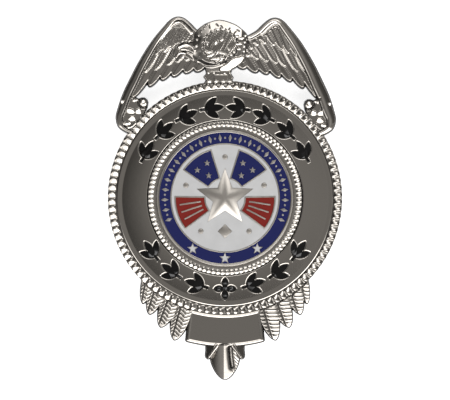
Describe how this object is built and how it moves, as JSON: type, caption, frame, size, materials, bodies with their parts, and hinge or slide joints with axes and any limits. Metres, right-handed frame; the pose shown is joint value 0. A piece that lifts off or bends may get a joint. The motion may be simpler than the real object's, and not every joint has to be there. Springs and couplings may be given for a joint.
{
  "type": "security shield badge",
  "caption": "Round metal breast badge with a spread eagle on top, rope borders, laurel band, enamelled star seal, ribbed leaves, blank plaque and brooch pin.",
  "frame": {"origin": "under the middle of the round shield, on the surface that the feet of the pin stand on", "axes": "+X across the badge, +Y towards the eagle, +Z out of the face"},
  "size_m": [0.051, 0.0794, 0.0078],
  "materials": {
    "polished_nickel": "polished nickel plate",
    "pin_steel": "nickel-plated steel",
    "blue_enamel": "glossy enamel",
    "red_enamel": "glossy enamel",
    "white_enamel": "glossy enamel",
    "black_enamel": "glossy enamel"
  },
  "bodies": {
    "root": {"shield": "polished_nickel", "seal_disc": "polished_nickel", "brooch_pin": "pin_steel", "blue_ring": "blue_enamel", "blue_ray_1": "blue_enamel", "blue_ray_2": "blue_enamel", "red_ray_1": "red_enamel", "red_ray_2": "red_enamel", "white_field": "white_enamel", "white_star_1": "white_enamel", "white_star_2": "white_enamel", "white_star_3": "white_enamel", "sprig_1": "black_enamel", "sprig_2": "black_enamel", "sprig_3": "black_enamel", "sprig_4": "black_enamel", "sprig_5": "black_enamel", "sprig_6": "black_enamel", "sprig_7": "black_enamel", "sprig_8": "black_enamel", "sprig_9": "black_enamel", "sprig_10": "black_enamel", "sprig_11": "black_enamel", "sprig_12": "black_enamel", "sprig_13": "black_enamel", "sprig_14": "black_enamel", "sprig_15": "black_enamel"}
  },
  "joints": []
}
